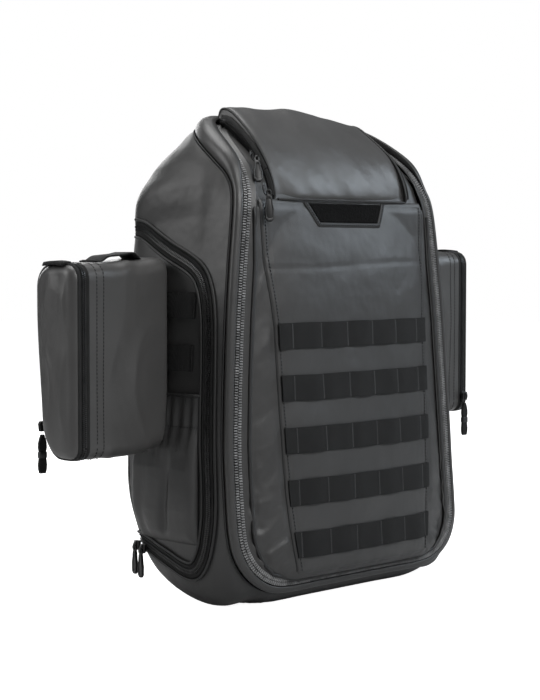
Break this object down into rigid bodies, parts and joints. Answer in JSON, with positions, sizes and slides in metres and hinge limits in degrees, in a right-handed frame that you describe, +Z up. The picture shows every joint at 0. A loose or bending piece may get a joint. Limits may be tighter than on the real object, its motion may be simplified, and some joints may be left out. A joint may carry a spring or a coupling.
{
  "type": "trauma backpack",
  "caption": "Clamshell trauma backpack with webbing front, domed top pocket, side doors and removable side pouches.",
  "frame": {"origin": "centre of the object's footprint, on the surface that it stands on", "axes": "+Z up, the front panel faces -Y, +X to the right seen from the front"},
  "size_m": [0.6, 0.2236, 0.4905],
  "materials": {
    "shell_fabric": "coated nylon, satin",
    "webbing": "woven nylon, matt",
    "zipper": "coated zipper tape with coil",
    "loop_pile": "loop pile",
    "pad_mesh": "spacer mesh over foam",
    "frame_plastic": "matt",
    "stay_metal": "mill finish",
    "buckle_plastic": "moulded, fine texture",
    "slider_metal": "black coated",
    "pull_rubber": "moulded"
  },
  "bodies": {
    "pack_body": {"rim_band": "shell_fabric", "base_panel": "shell_fabric", "back_wall": "shell_fabric", "crown_panel": "shell_fabric", "side_panel_left": "shell_fabric", "side_panel_right": "shell_fabric", "door_zip_frame_left": "zipper", "door_zip_frame_right": "zipper", "main_zip_outer": "zipper", "back_pads": "pad_mesh", "frame_sheet": "frame_plastic", "frame_stays": "stay_metal", "shoulder_strap_left": "pad_mesh", "shoulder_strap_right": "pad_mesh", "load_lifters": "webbing", "lower_straps": "webbing", "strap_adjusters": "buckle_plastic", "haul_handle": "webbing"},
    "sternum": {"sternum_strap": "webbing", "sternum_buckle_plug": "buckle_plastic", "sternum_buckle_socket": "buckle_plastic"},
    "front_lid": {"lid_shell": "shell_fabric", "main_zip_inner": "zipper", "molle_panel": "shell_fabric", "molle_row_1": "webbing", "molle_row_2": "webbing", "molle_row_3": "webbing", "molle_row_4": "webbing", "molle_row_5": "webbing", "loop_patch": "loop_pile", "top_pocket_zip": "zipper"},
    "top_flap": {"top_flap": "shell_fabric"},
    "pocket_sliders": {"pocket_sliders": "slider_metal"},
    "pocket_pull_upper": {"pocket_pull_upper": "pull_rubber"},
    "pocket_pull_lower": {"pocket_pull_lower": "pull_rubber"},
    "main_slider_left": {"main_slider_left": "slider_metal"},
    "main_pull_left": {"main_pull_left": "pull_rubber"},
    "left_door": {"door_panel_left": "shell_fabric", "door_zip_left": "zipper", "door_molle_left": "webbing", "door_pocket_left": "shell_fabric", "pouch_shell_left": "shell_fabric", "pouch_handle_left": "webbing"},
    "left_pouch_lid": {"pouch_lid_left": "shell_fabric"},
    "door_sliders_left": {"door_sliders_left": "pull_rubber"},
    "pouch_slider_left": {"pouch_slider_left": "slider_metal"},
    "pouch_pull_left": {"pouch_pull_left": "webbing"},
    "main_slider_right": {"main_slider_right": "slider_metal"},
    "main_pull_right": {"main_pull_right": "pull_rubber"},
    "right_door": {"door_panel_right": "shell_fabric", "door_zip_right": "zipper", "door_molle_right": "webbing", "door_pocket_right": "shell_fabric", "pouch_shell_right": "shell_fabric", "pouch_handle_right": "webbing"},
    "right_pouch_lid": {"pouch_lid_right": "shell_fabric"},
    "door_sliders_right": {"door_sliders_right": "pull_rubber"},
    "pouch_slider_right": {"pouch_slider_right": "slider_metal"},
    "pouch_pull_right": {"pouch_pull_right": "webbing"}
  },
  "joints": [
    {"name": "front_lid_hinge", "type": "hinge", "parent": "pack_body", "child": "front_lid", "pos_m": [0, -0.0934, 0.0155], "axis": [1, 0, 0], "range_deg": [0, 84]},
    {"name": "top_flap_hinge", "type": "hinge", "parent": "front_lid", "child": "top_flap", "pos_m": [0, -0.0872, 0.397], "axis": [1, 0, 0], "range_deg": [0, 75]},
    {"name": "sternum_slide", "type": "slide", "parent": "pack_body", "child": "sternum", "axis": [0, 0, 1], "range_m": [-0.04, 0.04]},
    {"name": "pocket_sliders_slide", "type": "slide", "parent": "front_lid", "child": "pocket_sliders", "axis": [0, 0.342, 0.9397], "range_m": [0, 0.015]},
    {"name": "pocket_pull_upper_hinge", "type": "hinge", "parent": "pocket_sliders", "child": "pocket_pull_upper", "pos_m": [-0.116, -0.0645, 0.4325], "axis": [-1, 0, 0], "range_deg": [0, 110]},
    {"name": "pocket_pull_lower_hinge", "type": "hinge", "parent": "pocket_sliders", "child": "pocket_pull_lower", "pos_m": [-0.116, -0.0806, 0.3988], "axis": [-1, 0, 0], "range_deg": [0, 110]},
    {"name": "main_slider_left_slide", "type": "slide", "parent": "pack_body", "child": "main_slider_left", "axis": [-1, 0, 0], "range_m": [0, 0.085]},
    {"name": "main_pull_left_hinge", "type": "hinge", "parent": "main_slider_left", "child": "main_pull_left", "pos_m": [-0.014, 0.0182, 0.4755], "axis": [1, 0, 0], "range_deg": [0, 120]},
    {"name": "left_door_hinge", "type": "hinge", "parent": "pack_body", "child": "left_door", "pos_m": [-0.1845, 0.06, 0.056], "axis": [-0.0592, 0, -0.9982], "range_deg": [0, 80]},
    {"name": "left_pouch_lid_hinge", "type": "hinge", "parent": "left_door", "child": "left_pouch_lid", "pos_m": [-0.2862, 0.0268, 0.157], "axis": [0, -1, 0], "range_deg": [0, 100]},
    {"name": "door_sliders_left_slide", "type": "slide", "parent": "pack_body", "child": "door_sliders_left", "axis": [0, -0.955, -0.2966], "range_m": [0, 0.05]},
    {"name": "pouch_slider_left_slide", "type": "slide", "parent": "left_door", "child": "pouch_slider_left", "axis": [0, 0, 1], "range_m": [0, 0.14]},
    {"name": "pouch_pull_left_hinge", "type": "hinge", "parent": "pouch_slider_left", "child": "pouch_pull_left", "pos_m": [-0.286, 0.0639, 0.17], "axis": [1, 0, 0], "range_deg": [0, 100]},
    {"name": "main_slider_right_slide", "type": "slide", "parent": "pack_body", "child": "main_slider_right", "axis": [1, 0, 0], "range_m": [0, 0.085]},
    {"name": "main_pull_right_hinge", "type": "hinge", "parent": "main_slider_right", "child": "main_pull_right", "pos_m": [0.014, 0.0182, 0.4755], "axis": [1, 0, 0], "range_deg": [0, 120]},
    {"name": "right_door_hinge", "type": "hinge", "parent": "pack_body", "child": "right_door", "pos_m": [0.1845, 0.06, 0.056], "axis": [-0.0592, 0, 0.9982], "range_deg": [0, 80]},
    {"name": "right_pouch_lid_hinge", "type": "hinge", "parent": "right_door", "child": "right_pouch_lid", "pos_m": [0.2862, 0.0268, 0.157], "axis": [0, 1, 0], "range_deg": [0, 100]},
    {"name": "door_sliders_right_slide", "type": "slide", "parent": "pack_body", "child": "door_sliders_right", "axis": [0, -0.955, -0.2966], "range_m": [0, 0.05]},
    {"name": "pouch_slider_right_slide", "type": "slide", "parent": "right_door", "child": "pouch_slider_right", "axis": [0, 0, 1], "range_m": [0, 0.14]},
    {"name": "pouch_pull_right_hinge", "type": "hinge", "parent": "pouch_slider_right", "child": "pouch_pull_right", "pos_m": [0.286, -0.0104, 0.17], "axis": [-1, 0, 0], "range_deg": [0, 100]}
  ]
}
